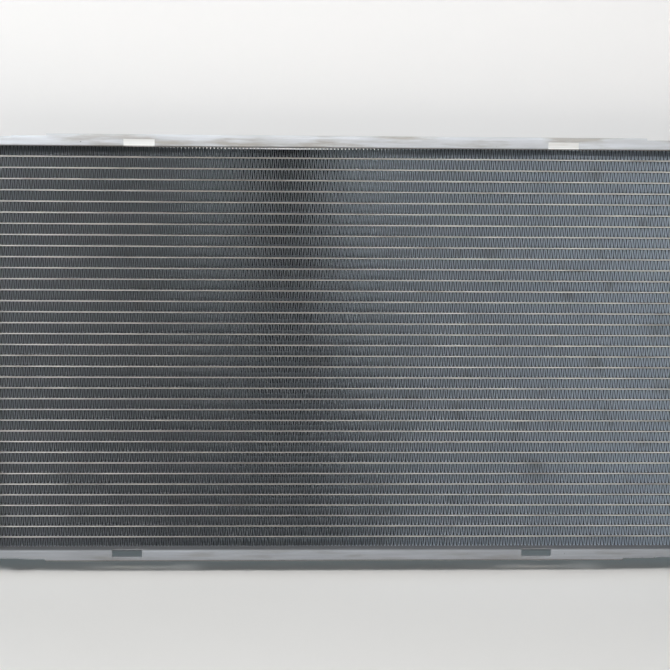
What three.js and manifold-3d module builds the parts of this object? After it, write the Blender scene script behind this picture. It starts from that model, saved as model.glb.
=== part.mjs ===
// Cross-flow car radiator: a brazed aluminium core of flat tubes and corrugated fins, closed by
// two side plates, with a header plate and a crimped-on plastic tank at each end.
// Millimetres, +Z up, +X along the tubes, the air-inlet face towards -Y.

import * as THREE from 'three';
import * as BufferGeometryUtils from 'three/addons/utils/BufferGeometryUtils.js';
import Module from 'manifold-3d';

const wasm = await Module();
wasm.setup();

// Core
const TUBE_COUNT = 36;
const TUBE_PITCH = 10.5;
const TUBE_HEIGHT = 1.8;
const TUBE_WALL = 0.35;
const CORE_DEPTH = 26;
const CORE_HALF_WIDTH = 340; // from the middle to the inner face of each header plate
const TUBE_END_REACH = 4.5; // how far a tube runs into the tank, from that face
const FIN_DEPTH = 24;
const FIN_SHEET = 0.55;
const FIN_WAVES = 9;
const FIN_END_GAP = 1;
const FIT_GAP = 0.3; // clearance between neighbouring pieces

// Side plates: a U channel, with its flanges pointing away from the core
const FRAME_DEPTH = 48; // side plates and header plates, front to back
const PLATE_SHEET = 1.2;
const PLATE_BEND = 2.2;
const FLANGE_HEIGHT = 11.6;
const FLANGE_STEPPED_HEIGHT = 9.3;
const FLANGE_END_HEIGHT = 8.1;
const SEAM_X = 309; // where the end sections start, both ways from the middle
const SEAM_GROOVE = 0.8;
const LONG_STEP_X = -277.5;
const SHORT_STEP_X = 286;
const SLOT_CENTRES_X = [-191.4, 207];
const SLOT_LENGTH = 29;
const SLOT_HEIGHT = 7.2;
const SLOT_WEB_BITE = 2.4;

// Header plates
const HEADER_SHEET = 1.5;
const HEADER_HALF_LENGTH = 209;
const HEADER_CORNER = 5;
const RIM_SHEET = 1.3;
const RIM_DEPTH = 12; // from the inner face of the header plate to the back of the folded tabs
const TAB_FOLD = 3.5;
const TAB_FOLD_SHEET = 1.2;
const TAB_PITCH = 38;
const TAB_NOTCH = 6;
const TAB_NOTCH_DEPTH = 6;

// Tank gasket and tanks
const GASKET_WIDTH = 4.4;
const GASKET_THICKNESS = 2.4;
const FOOT_THICKNESS = 6;
const TANK_HALF_DEPTH = 19;
const TANK_REACH = 50; // from the top of the foot to the outer wall
const TANK_CORNER = 15;
const TANK_WALL = 2.8;
const TANK_HALF_LENGTH = 203.5;
const RIB_COUNT = 8;
const RIB_HEIGHT = 2.4;
const RIB_THICKNESS = 2;
const NECK_RADIUS = 16;
const NECK_BORE = 13.2;
const NECK_BEAD = 1.6;
const NECK_LENGTH = 42; // from the rear wall of the tank
const NECK_Z = 150;
const NECK_AXIS_IN = 26; // from the top of the foot to the neck axis
const CLIP_SLEEVE = { width: 17, depth: 11, height: 22, wall: 2.5, heights: [-118, 62] };

// Locating pins and their rubber bushes
const PIN_RADIUS = 7;
const PIN_LENGTH = 17;
const BUSH_RADIUS = 15;
const BUSH_WAIST = 11;
const BUSH_HEIGHT = 18;

// Drain tap, on the rear of the outlet tank
const DRAIN_Z = 178; // from the middle of the tank to the tap, towards the low end
const BOSS_RADIUS = 10;
const BOSS_LENGTH = 6;
const DRAIN_BORE = 5.3;
const TAP_STEM_RADIUS = 5;
const TAP_HEAD_RADIUS = 9.5;
const TAP_HEAD_THICKNESS = 3;
const TAP_WING = { length: 22, height: 10, thickness: 4 };
const SEAL_THICKNESS = 1.8;

const TUBE_FLAT = CORE_DEPTH / 2 - TUBE_HEIGHT / 2;
const FIN_SPACE = TUBE_PITCH - TUBE_HEIGHT;
const TOP_TUBE_Z = (TUBE_COUNT - 1) * TUBE_PITCH / 2;
const WEB_Z = TOP_TUBE_Z + TUBE_HEIGHT / 2 + FIN_SPACE; // core side of a side plate's web
const HEADER_OUTER_X = CORE_HALF_WIDTH + HEADER_SHEET;
const GASKET_X = HEADER_OUTER_X + FIT_GAP;
const FOOT_X = GASKET_X + GASKET_THICKNESS + FIT_GAP;
const FOOT_TOP_X = FOOT_X + FOOT_THICKNESS;
const FOOT_HALF_DEPTH = FRAME_DEPTH / 2 - RIM_SHEET - FIT_GAP;
const FOOT_HALF_LENGTH = HEADER_HALF_LENGTH - RIM_SHEET - FIT_GAP;
const TANK_OUTER_X = FOOT_TOP_X + TANK_REACH;
const NECK_X = FOOT_TOP_X + NECK_AXIS_IN;

const aluminium = (color, roughness) => ({ color, roughness, metalness: 0.85 });
const plastic = (color) => ({ color, roughness: 0.6, metalness: 0 });
const looks = {
  tube: aluminium(0xb9b2a4, 0.5),
  fin: aluminium(0x8b9299, 0.45),
  sidePlate: aluminium(0xb4b5b8, 0.55),
  header: aluminium(0xa9a9a6, 0.5),
  tank: plastic(0x17181a),
  tap: plastic(0x242628),
  rubber: { color: 0x101010, roughness: 0.9, metalness: 0 },
};

// Moves a shape drawn in its own x and y, and extruded along z, to run along X, Y or Z.
const extrusionFrames = {
  x: [new THREE.Vector3(0, 1, 0), new THREE.Vector3(0, 0, 1), new THREE.Vector3(1, 0, 0)],
  y: [new THREE.Vector3(0, 0, 1), new THREE.Vector3(1, 0, 0), new THREE.Vector3(0, 1, 0)],
  z: [new THREE.Vector3(1, 0, 0), new THREE.Vector3(0, 1, 0), new THREE.Vector3(0, 0, 1)],
};

function extrude(shape, axis, from, to, curveSegments = 3) {
  const options = { depth: to - from, bevelEnabled: false, curveSegments };
  const geometry = new THREE.ExtrudeGeometry(shape, options);
  geometry.translate(0, 0, from);
  geometry.applyMatrix4(new THREE.Matrix4().makeBasis(...extrusionFrames[axis]));
  return geometry;
}

function box(min, max) {
  const size = max.map((value, i) => value - min[i]);
  const geometry = new THREE.BoxGeometry(...size);
  return geometry.translate(...min.map((value, i) => value + size[i] / 2));
}

// A turned piece on the Y or Z axis; the profile gives [radius, height] pairs, lowest first.
function turned(profile, axis, segments) {
  const points = profile.map(([radius, height]) => new THREE.Vector2(radius, height));
  const geometry = new THREE.LatheGeometry(points, segments);
  return axis === 'z' ? geometry.rotateX(Math.PI / 2) : geometry;
}

function solid(geometry) {
  const bare = geometry.clone();
  bare.deleteAttribute('normal');
  bare.deleteAttribute('uv');
  const merged = BufferGeometryUtils.mergeVertices(bare, 1e-5);
  const vertProperties = new Float32Array(merged.attributes.position.array);
  const triVerts = new Uint32Array(merged.index.array);
  return new wasm.Manifold(new wasm.Mesh({ numProp: 3, vertProperties, triVerts }));
}

function geometryOf(body) {
  const mesh = body.getMesh();
  const geometry = new THREE.BufferGeometry();
  geometry.setAttribute('position', new THREE.BufferAttribute(mesh.vertProperties, 3));
  geometry.setIndex(new THREE.BufferAttribute(mesh.triVerts, 1));
  geometry.computeVertexNormals();
  return geometry;
}

function joined(geometries) {
  return geometries.map(solid).reduce((sum, piece) => sum.add(piece));
}

function cut(body, geometries) {
  return geometries.map(solid).reduce((rest, piece) => rest.subtract(piece), body);
}

function polygon(points) {
  return new THREE.Shape(points.map(([x, y]) => new THREE.Vector2(x, y)));
}

function roundedRectangle(halfX, halfY, radius) {
  const shape = new THREE.Shape();
  shape.moveTo(halfX, radius - halfY);
  shape.absarc(halfX - radius, halfY - radius, radius, 0, Math.PI / 2);
  shape.absarc(radius - halfX, halfY - radius, radius, Math.PI / 2, Math.PI);
  shape.absarc(radius - halfX, radius - halfY, radius, Math.PI, 1.5 * Math.PI);
  shape.absarc(halfX - radius, radius - halfY, radius, 1.5 * Math.PI, 2 * Math.PI);
  return shape;
}

function frameShape(outerHalfX, outerHalfY, width, radius) {
  const shape = roundedRectangle(outerHalfX, outerHalfY, radius);
  shape.holes.push(roundedRectangle(outerHalfX - width, outerHalfY - width, radius - width / 2));
  return shape;
}

const radiator = new THREE.Group();

function addPart(name, geometry, look, parent = radiator) {
  const mesh = new THREE.Mesh(geometry, new THREE.MeshStandardMaterial(look));
  mesh.name = name;
  parent.add(mesh);
  return mesh;
}

// Flat tube section in Y and Z: flat top and bottom, with a nose at the front and the back.
function tubeSection(inset) {
  const halfHeight = TUBE_HEIGHT / 2 - inset;
  const nose = CORE_DEPTH / 2 - inset * 1.5;
  return [[nose, 0], [TUBE_FLAT, halfHeight], [-TUBE_FLAT, halfHeight],
    [-nose, 0], [-TUBE_FLAT, -halfHeight], [TUBE_FLAT, -halfHeight]];
}

function tubeGeometry() {
  const section = polygon(tubeSection(0));
  section.holes.push(polygon(tubeSection(TUBE_WALL)));
  const end = CORE_HALF_WIDTH + TUBE_END_REACH;
  return extrude(section, 'x', -end, end);
}

// A corrugated strip between two heights: a coarse wave with the sheet area of the fine fin.
function finGeometry(bottom, top) {
  const half = CORE_HALF_WIDTH - FIN_END_GAP;
  const legs = FIN_WAVES * 2;
  const crest = (i) => (i % 2 ? top - FIN_SHEET : bottom);
  const lower = Array.from({ length: legs + 1 }, (_, i) => [crest(i), -half + i * 2 * half / legs]);
  const upper = lower.map(([z, x]) => [z + FIN_SHEET, x]).reverse();
  return extrude(polygon([...lower, ...upper]), 'y', -FIN_DEPTH / 2, FIN_DEPTH / 2);
}

// Each row is a tube with the fin brazed on top of it.
function addCoreRows() {
  const braze = 0.1;
  const tube = tubeGeometry();
  const finBottom = TUBE_HEIGHT / 2;
  const fin = finGeometry(finBottom - braze, finBottom + FIN_SPACE - FIT_GAP);
  const row = geometryOf(joined([tube, fin]));
  for (let i = 0; i < TUBE_COUNT; i += 1) {
    const name = `core_row_${String(i + 1).padStart(2, '0')}`;
    addPart(name, row.clone(), looks.tube).position.z = i * TUBE_PITCH - TOP_TUBE_Z;
  }
  const lowest = -TOP_TUBE_Z - TUBE_HEIGHT / 2;
  const bottomFin = finGeometry(lowest - FIN_SPACE + FIT_GAP, lowest - FIT_GAP);
  addPart('core_fin_bottom', bottomFin, looks.fin);
}

// Upper plate: the web lies on the core and the flanges stand up.
function sidePlateGeometry() {
  const half = FRAME_DEPTH / 2;
  const tip = FLANGE_HEIGHT;
  const bendSteps = [0, 1, 2, 3].map((step) => step * Math.PI / 6);
  const corner = (radius) => bendSteps.map((angle) => [
    half - PLATE_BEND + radius * Math.sin(angle), PLATE_BEND - radius * Math.cos(angle)]);
  const outer = [...corner(PLATE_BEND), [half, tip]];
  const inner = [[half - PLATE_SHEET, tip], ...corner(PLATE_BEND - PLATE_SHEET).reverse()];
  const right = [...outer, ...inner];
  const left = right.map(([y, z]) => [-y, z]).reverse();
  const end = CORE_HALF_WIDTH - FIT_GAP;
  const channel = extrude(polygon([...right, ...left]), 'x', -end, end);

  const past = 1;
  const above = (x0, x1, height) => box([x0, -half - past, height], [x1, half + past, tip + past]);
  const slots = SLOT_CENTRES_X.map((x) => box(
    [x - SLOT_LENGTH / 2, -half - past, -past],
    [x + SLOT_LENGTH / 2, -half + SLOT_WEB_BITE, SLOT_HEIGHT]));
  const seams = [-SEAM_X, SEAM_X].map((x) => box(
    [x - SEAM_GROOVE / 2, -half - past, PLATE_BEND],
    [x + SEAM_GROOVE / 2, -half + PLATE_SHEET / 2, tip + past]));
  const trimmed = cut(solid(channel), [
    above(-end - past, -SEAM_X, FLANGE_END_HEIGHT),
    above(-SEAM_X - past, LONG_STEP_X, FLANGE_STEPPED_HEIGHT),
    above(SHORT_STEP_X, SEAM_X + past, FLANGE_STEPPED_HEIGHT),
    above(SEAM_X, end + past, FLANGE_END_HEIGHT),
    ...slots, ...seams]);
  return geometryOf(trimmed).translate(0, 0, WEB_Z);
}

// Both side plates are the same piece; the lower one is turned over end for end.
function addSidePlates() {
  addPart('side_plate_upper', sidePlateGeometry(), looks.sidePlate);
  addPart('side_plate_lower', sidePlateGeometry(), looks.sidePlate).rotation.y = Math.PI;
}

function tabNotches() {
  const half = FRAME_DEPTH / 2;
  const past = 1;
  const x = CORE_HALF_WIDTH + RIM_DEPTH - TAB_NOTCH_DEPTH;
  const xEnd = CORE_HALF_WIDTH + RIM_DEPTH + past;
  const inside = half - TAB_FOLD - past;
  const perSide = Math.floor(2 * (HEADER_HALF_LENGTH - 2 * HEADER_CORNER) / TAB_PITCH);
  const notches = [];
  for (let i = 0; i <= perSide; i += 1) {
    const z = (i - perSide / 2) * TAB_PITCH;
    for (const side of [-1, 1]) {
      const ys = [side * inside, side * (half + past)].sort((a, b) => a - b);
      notches.push(box([x, ys[0], z - TAB_NOTCH / 2], [xEnd, ys[1], z + TAB_NOTCH / 2]));
    }
  }
  return notches;
}

// Header plate at the +X end: a slotted floor with a rim whose tabs fold over the tank's foot.
function headerGeometry() {
  const half = FRAME_DEPTH / 2;
  const floor = roundedRectangle(half, HEADER_HALF_LENGTH, HEADER_CORNER);
  const slotHalf = TUBE_HEIGHT / 2 + FIT_GAP;
  const slotNose = CORE_DEPTH / 2 + FIT_GAP;
  for (let i = 0; i < TUBE_COUNT; i += 1) {
    const z = i * TUBE_PITCH - TOP_TUBE_Z;
    floor.holes.push(polygon([[slotNose, z + slotHalf], [-slotNose, z + slotHalf],
      [-slotNose, z - slotHalf], [slotNose, z - slotHalf]]));
  }
  const start = CORE_HALF_WIDTH;
  const end = CORE_HALF_WIDTH + RIM_DEPTH;
  const rim = frameShape(half, HEADER_HALF_LENGTH, RIM_SHEET, HEADER_CORNER);
  const fold = frameShape(half, HEADER_HALF_LENGTH, TAB_FOLD, HEADER_CORNER);
  const plate = joined([
    extrude(floor, 'x', start, start + HEADER_SHEET),
    extrude(rim, 'x', start, end),
    extrude(fold, 'x', end - TAB_FOLD_SHEET, end)]);
  return geometryOf(cut(plate, tabNotches()));
}

function gasketGeometry() {
  const ring = frameShape(FOOT_HALF_DEPTH, FOOT_HALF_LENGTH, GASKET_WIDTH, HEADER_CORNER - RIM_SHEET);
  return extrude(ring, 'x', GASKET_X, GASKET_X + GASKET_THICKNESS);
}

// Tank section in X and Y: flat towards the header, with rounded outer corners.
function tankSection(outset, start = FOOT_TOP_X - 1) {
  const half = TANK_HALF_DEPTH + outset;
  const outer = TANK_OUTER_X + outset;
  const radius = TANK_CORNER + outset;
  const shape = new THREE.Shape();
  shape.moveTo(start, -half);
  shape.lineTo(outer - radius, -half);
  shape.absarc(outer - radius, radius - half, radius, -Math.PI / 2, 0);
  shape.absarc(outer - radius, half - radius, radius, 0, Math.PI / 2);
  shape.lineTo(start, half);
  return shape;
}

function neckGeometry() {
  const start = TANK_HALF_DEPTH - TANK_WALL;
  const end = TANK_HALF_DEPTH + NECK_LENGTH;
  const bead = NECK_RADIUS + NECK_BEAD;
  const profile = [[0, start], [NECK_RADIUS, start], [NECK_RADIUS, end - 8], [bead, end - 6],
    [bead, end - 3], [NECK_RADIUS, end - 1], [NECK_RADIUS - 0.4, end], [0, end]];
  return turned(profile, 'y', 16).translate(NECK_X, 0, NECK_Z);
}

function cylinder(axis, radius, from, to, segments) {
  return turned([[0, from], [radius, from], [radius, to], [0, to]], axis, segments);
}

// Clip sleeve for a fan cowl, on the rear wall of a tank: open at its top and bottom.
function clipSleeve(z) {
  const { width, depth, height, wall } = CLIP_SLEEVE;
  const [x, y] = [NECK_X - width / 2, TANK_HALF_DEPTH - 1];
  const past = 1;
  return {
    block: box([x, y, z - height / 2], [x + width, y + 1 + depth, z + height / 2]),
    hollow: box([x + wall, y + 1 + wall, z - height / 2 - past],
      [x + width - wall, y + 1 + depth - wall, z + height / 2 + past]),
  };
}

function locatingPin(side) {
  const ends = [TANK_HALF_LENGTH - 1, TANK_HALF_LENGTH + PIN_LENGTH].map((z) => side * z);
  const [from, to] = ends.sort((a, b) => a - b);
  return cylinder('z', PIN_RADIUS, from, to, 12).translate(NECK_X, 0, 0);
}

// Tank at the +X end: foot, ribbed shell, neck to the rear, clip sleeves and locating pins.
function tankBody() {
  const corner = HEADER_CORNER - RIM_SHEET;
  const foot = roundedRectangle(FOOT_HALF_DEPTH, FOOT_HALF_LENGTH, corner);
  const ribSpacing = 2 * TANK_HALF_LENGTH / (RIB_COUNT + 1);
  const ribStart = CORE_HALF_WIDTH + RIM_DEPTH + FIT_GAP;
  const ribs = Array.from({ length: RIB_COUNT }, (_, i) => {
    const z = (i + 1) * ribSpacing - TANK_HALF_LENGTH;
    const section = tankSection(RIB_HEIGHT, ribStart);
    return extrude(section, 'z', z - RIB_THICKNESS / 2, z + RIB_THICKNESS / 2);
  });
  const sleeves = CLIP_SLEEVE.heights.map(clipSleeve);
  const body = joined([
    extrude(foot, 'x', FOOT_X, FOOT_TOP_X),
    extrude(tankSection(0), 'z', -TANK_HALF_LENGTH, TANK_HALF_LENGTH),
    ...ribs, locatingPin(-1), locatingPin(1), neckGeometry(),
    ...sleeves.map(({ block }) => block)]);

  const innerHalfLength = TANK_HALF_LENGTH - TANK_WALL;
  const innerHalfDepth = TANK_HALF_DEPTH - TANK_WALL;
  const neckEnd = TANK_HALF_DEPTH + NECK_LENGTH + 1;
  return cut(body, [
    extrude(tankSection(-TANK_WALL), 'z', -innerHalfLength, innerHalfLength),
    box([FOOT_X - 1, -innerHalfDepth, -innerHalfLength],
      [FOOT_TOP_X, innerHalfDepth, innerHalfLength]),
    cylinder('y', NECK_BORE, 0, neckEnd, 16).translate(NECK_X, 0, NECK_Z),
    ...sleeves.map(({ hollow }) => hollow)]);
}

function withDrainBoss(tank) {
  const end = TANK_HALF_DEPTH + BOSS_LENGTH;
  const boss = cylinder('y', BOSS_RADIUS, TANK_HALF_DEPTH - 1, end, 16);
  const bore = cylinder('y', DRAIN_BORE, 0, end + 1, 16);
  const [solidBoss, solidBore] = [boss, bore].map((g) => solid(g.translate(NECK_X, 0, DRAIN_Z)));
  return tank.add(solidBoss).subtract(solidBore);
}

// Rubber bush round the upper locating pin: a waisted ring.
function bushGeometry() {
  const bore = PIN_RADIUS + FIT_GAP;
  const low = TANK_HALF_LENGTH + FIT_GAP;
  const high = low + BUSH_HEIGHT;
  const chamfer = 1;
  const profile = [[bore, low], [BUSH_RADIUS, low], [BUSH_RADIUS, low + 5],
    [BUSH_WAIST, low + 6], [BUSH_WAIST, high - 6], [BUSH_RADIUS, high - 5],
    [BUSH_RADIUS, high - chamfer], [BUSH_RADIUS - chamfer, high], [bore, high], [bore, low]];
  return turned(profile, 'z', 14).translate(NECK_X, 0, 0);
}

function tapGeometry() {
  const sealTop = TANK_HALF_DEPTH + BOSS_LENGTH + SEAL_THICKNESS + 2 * FIT_GAP;
  const head = sealTop + TAP_HEAD_THICKNESS;
  const tip = TANK_HALF_DEPTH - TANK_WALL - 2;
  const turnedBody = turned([[0, tip], [TAP_STEM_RADIUS - 1, tip], [TAP_STEM_RADIUS, tip + 1],
    [TAP_STEM_RADIUS, sealTop], [TAP_HEAD_RADIUS, sealTop], [TAP_HEAD_RADIUS, head - 0.6],
    [TAP_HEAD_RADIUS - 0.6, head], [0, head]], 'y', 16);
  const { length, height, thickness } = TAP_WING;
  const wing = box([-length / 2, head - 1, -thickness / 2],
    [length / 2, head + height, thickness / 2]);
  return geometryOf(joined([turnedBody, wing]));
}

function sealGeometry() {
  const low = TANK_HALF_DEPTH + BOSS_LENGTH + FIT_GAP;
  const high = low + SEAL_THICKNESS;
  const bore = TAP_STEM_RADIUS + FIT_GAP;
  const rim = BOSS_RADIUS - 1.5;
  return turned([[bore, low], [rim, low], [rim, high], [bore, high], [bore, low]], 'y', 16);
}

function addDrainTap(end) {
  const place = new THREE.Group();
  place.position.set(NECK_X, 0, DRAIN_Z);
  end.add(place);
  addPart('drain_tap', tapGeometry(), looks.tap, place);
  addPart('drain_tap_seal', sealGeometry(), looks.rubber, place);
}

// Header plate, gasket, tank and bushes of one end. The outlet end is the inlet end turned half
// round about the Y axis, which keeps both necks pointing to the rear.
function addEnd(side, tank, bushNames) {
  const end = new THREE.Group();
  radiator.add(end);
  addPart(`header_plate_${side}`, headerGeometry(), looks.header, end);
  addPart(`tank_gasket_${side}`, gasketGeometry(), looks.rubber, end);
  addPart(`tank_${side}`, geometryOf(tank), looks.tank, end);
  bushNames.forEach((name, i) => {
    addPart(`bush_${side}_${name}`, bushGeometry(), looks.rubber, end).rotation.x = i * Math.PI;
  });
  return end;
}

addCoreRows();
addSidePlates();
addEnd('inlet', tankBody(), ['upper', 'lower']);
const outletEnd = addEnd('outlet', withDrainBoss(tankBody()), ['lower', 'upper']);
addDrainTap(outletEnd);
outletEnd.rotation.y = Math.PI;

// The origin is the middle of the base of the whole radiator.
const bounds = new THREE.Box3().setFromObject(radiator);
const middle = bounds.getCenter(new THREE.Vector3());
radiator.position.set(-middle.x, -middle.y, -bounds.min.z);

export default radiator;
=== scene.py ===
import math

import bmesh
import bpy
from mathutils import Matrix, Vector


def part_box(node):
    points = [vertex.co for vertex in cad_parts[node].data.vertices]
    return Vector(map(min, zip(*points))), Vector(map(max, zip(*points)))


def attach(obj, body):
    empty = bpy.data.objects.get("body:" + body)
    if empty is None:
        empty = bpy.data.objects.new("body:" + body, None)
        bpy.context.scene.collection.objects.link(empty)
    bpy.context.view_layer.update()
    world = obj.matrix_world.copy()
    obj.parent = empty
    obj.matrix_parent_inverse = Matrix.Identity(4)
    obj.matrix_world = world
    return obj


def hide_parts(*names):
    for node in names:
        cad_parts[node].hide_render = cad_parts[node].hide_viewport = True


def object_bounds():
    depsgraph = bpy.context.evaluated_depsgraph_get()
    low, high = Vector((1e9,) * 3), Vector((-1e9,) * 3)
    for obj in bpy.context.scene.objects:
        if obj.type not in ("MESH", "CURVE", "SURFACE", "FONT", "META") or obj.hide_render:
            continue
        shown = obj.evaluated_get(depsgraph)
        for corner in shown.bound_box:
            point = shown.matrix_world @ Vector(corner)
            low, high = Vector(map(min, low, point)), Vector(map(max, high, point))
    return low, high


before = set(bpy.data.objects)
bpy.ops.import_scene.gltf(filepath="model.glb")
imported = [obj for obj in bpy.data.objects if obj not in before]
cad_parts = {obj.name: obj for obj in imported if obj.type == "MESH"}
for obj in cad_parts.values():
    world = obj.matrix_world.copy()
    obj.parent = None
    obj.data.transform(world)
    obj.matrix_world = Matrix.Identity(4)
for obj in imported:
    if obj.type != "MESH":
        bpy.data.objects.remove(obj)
cadBox = [list(corner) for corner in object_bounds()]
body = "radiator"
rowNames = sorted(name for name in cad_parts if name.startswith("core_row_"))
middleHeight = (cadBox[0][2] + cadBox[1][2]) / 2
# how near two places have to be to count as the same, from strict to loose
speck, hair, tenth, millimetre = 1e-6, 1e-5, 1e-4, 1e-3


# camera: in front of the core, above its middle and a little to the left of it
cameraSet = {
    "place": Vector((-0.0545, -1.3646, 0.4135)),
    "aim": Vector((-0.0068, -0.0315, 0.2373)),
    "lens": 75.2,
    "roll": math.radians(0.46),
}


def makeCamera(settings):
    data = bpy.data.cameras.new("camera")
    data.lens = settings["lens"]
    camera = bpy.data.objects.new("camera", data)
    bpy.context.collection.objects.link(camera)
    look = (settings["aim"] - settings["place"]).to_track_quat("-Z", "Y").to_matrix().to_4x4()
    roll = Matrix.Rotation(settings["roll"], 4, "Z")
    camera.matrix_world = Matrix.Translation(settings["place"]) @ look @ roll
    bpy.context.scene.camera = camera


makeCamera(cameraSet)
print("camera placed")


# working in edit mode
def deselectAll():
    bpy.ops.object.select_all(action="DESELECT")


def editPiece(piece):
    deselectAll()
    piece.select_set(True)
    bpy.context.view_layer.objects.active = piece
    bpy.ops.object.mode_set(mode="EDIT")
    return bmesh.from_edit_mesh(piece.data)


def leaveEdit():
    bpy.ops.object.mode_set(mode="OBJECT")


def pick(piece, mode, test):  # selects the verts, edges or faces whose middle passes the test
    bpy.ops.mesh.select_all(action="DESELECT")
    bpy.ops.mesh.select_mode(type=mode)
    mesh = bmesh.from_edit_mesh(piece.data)
    sort = {"VERT": mesh.verts, "EDGE": mesh.edges, "FACE": mesh.faces}[mode]
    for part in sort:
        if mode == "VERT":
            part.select_set(test(part.co))
        elif mode == "EDGE":
            part.select_set(test(part.verts[0].co, part.verts[1].co))
        else:
            part.select_set(test(part.calc_center_median(), part.normal))
    mesh.select_flush_mode()
    bmesh.update_edit_mesh(piece.data)


def applyModifier(piece, kind, **settings):
    deselectAll()
    piece.select_set(True)
    bpy.context.view_layer.objects.active = piece
    modifier = piece.modifiers.new(kind.lower(), kind)
    for key, value in settings.items():
        setattr(modifier, key, value)
    bpy.ops.object.modifier_apply(modifier=modifier.name)


def roundEdges(piece, width, segments=2, angle=30):
    applyModifier(piece, "BEVEL", width=width, segments=segments, limit_method="ANGLE",
                  angle_limit=math.radians(angle))


def closeSeams(piece):
    editPiece(piece)
    bpy.ops.mesh.select_all(action="SELECT")
    bpy.ops.mesh.remove_doubles(threshold=speck)
    bpy.ops.mesh.normals_make_consistent(inside=False)
    leaveEdit()


def smoothByAngle(piece, degrees=35):
    deselectAll()
    piece.select_set(True)
    bpy.context.view_layer.objects.active = piece
    bpy.ops.object.shade_smooth_by_angle(angle=math.radians(degrees))


def newBlock(name, low, high):  # a primitive at its size and place, to be shaped
    deselectAll()
    middle = (Vector(low) + Vector(high)) / 2
    size = Vector(high) - Vector(low)
    bpy.ops.mesh.primitive_cube_add(size=1, location=middle, scale=size)
    bpy.ops.object.transform_apply(location=True, rotation=True, scale=True)
    piece = bpy.context.active_object
    piece.name = name
    return piece


def copyPiece(piece, name, move):
    copy = piece.copy()
    copy.data = piece.data.copy()
    copy.name = name
    bpy.context.collection.objects.link(copy)
    copy.data.transform(Matrix.Translation(move))
    return copy


def turnOver(piece, name):  # a copy turned half round about the middle of the core
    copy = copyPiece(piece, name, (0, 0, 0))
    centre = Vector((0, 0, middleHeight))
    half = Matrix.Rotation(math.pi, 4, "Y")
    copy.data.transform(Matrix.Translation(centre) @ half @ Matrix.Translation(-centre))
    return copy


def fit(piece, material, rides=body):
    piece.data.materials.clear()
    piece.data.materials.append(material)
    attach(piece, rides)


# materials
def startMaterial(name, color, metallic, roughness):
    material = bpy.data.materials.new(name)
    material.use_nodes = True
    tree = material.node_tree
    shader = tree.nodes["Principled BSDF"]
    shader.inputs["Base Color"].default_value = (*color, 1)
    shader.inputs["Metallic"].default_value = metallic
    shader.inputs["Roughness"].default_value = roughness
    return material, tree, shader


def objectSpace(tree, scale=(1, 1, 1)):
    place = tree.nodes.new("ShaderNodeTexCoord")
    mapping = tree.nodes.new("ShaderNodeMapping")
    mapping.inputs["Scale"].default_value = scale
    tree.links.new(place.outputs["Object"], mapping.inputs["Vector"])
    return mapping.outputs["Vector"]


def noisePattern(tree, scale, detail=3, stretch=(1, 1, 1)):
    noise = tree.nodes.new("ShaderNodeTexNoise")
    noise.inputs["Scale"].default_value = scale
    noise.inputs["Detail"].default_value = detail
    tree.links.new(objectSpace(tree, stretch), noise.inputs["Vector"])
    return noise.outputs["Fac"]


def stepBetween(tree, value, low, high):  # 0 below low, 1 above high
    ramp = tree.nodes.new("ShaderNodeMapRange")
    ramp.inputs["From Min"].default_value = low
    ramp.inputs["From Max"].default_value = high
    tree.links.new(value, ramp.inputs["Value"])
    return ramp.outputs["Result"]


def mixColor(tree, factor, first, second, strength=1):
    mix = tree.nodes.new("ShaderNodeMix")
    mix.data_type = "RGBA"
    for value, socket in ((first, mix.inputs[6]), (second, mix.inputs[7])):
        if isinstance(value, tuple):
            socket.default_value = (*value, 1)
        else:
            tree.links.new(value, socket)
    amount = tree.nodes.new("ShaderNodeMath")
    amount.operation = "MULTIPLY"
    amount.inputs[1].default_value = strength
    tree.links.new(factor, amount.inputs[0])
    tree.links.new(amount.outputs[0], mix.inputs[0])
    return mix.outputs[2]


def bumpFrom(tree, shader, height, distance, strength=1):
    bump = tree.nodes.new("ShaderNodeBump")
    bump.inputs["Distance"].default_value = distance
    bump.inputs["Strength"].default_value = strength
    tree.links.new(height, bump.inputs["Height"])
    tree.links.new(bump.outputs["Normal"], shader.inputs["Normal"])


def awayFrom(tree, axis, middle):  # distance from a middle plane across one axis
    place = tree.nodes.new("ShaderNodeSeparateXYZ")
    tree.links.new(objectSpace(tree), place.inputs[0])
    centred = tree.nodes.new("ShaderNodeMath")
    centred.operation = "SUBTRACT"
    centred.inputs[1].default_value = middle
    tree.links.new(place.outputs[axis], centred.inputs[0])
    distance = tree.nodes.new("ShaderNodeMath")
    distance.operation = "ABSOLUTE"
    tree.links.new(centred.outputs[0], distance.inputs[0])
    return distance.outputs[0]


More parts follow.
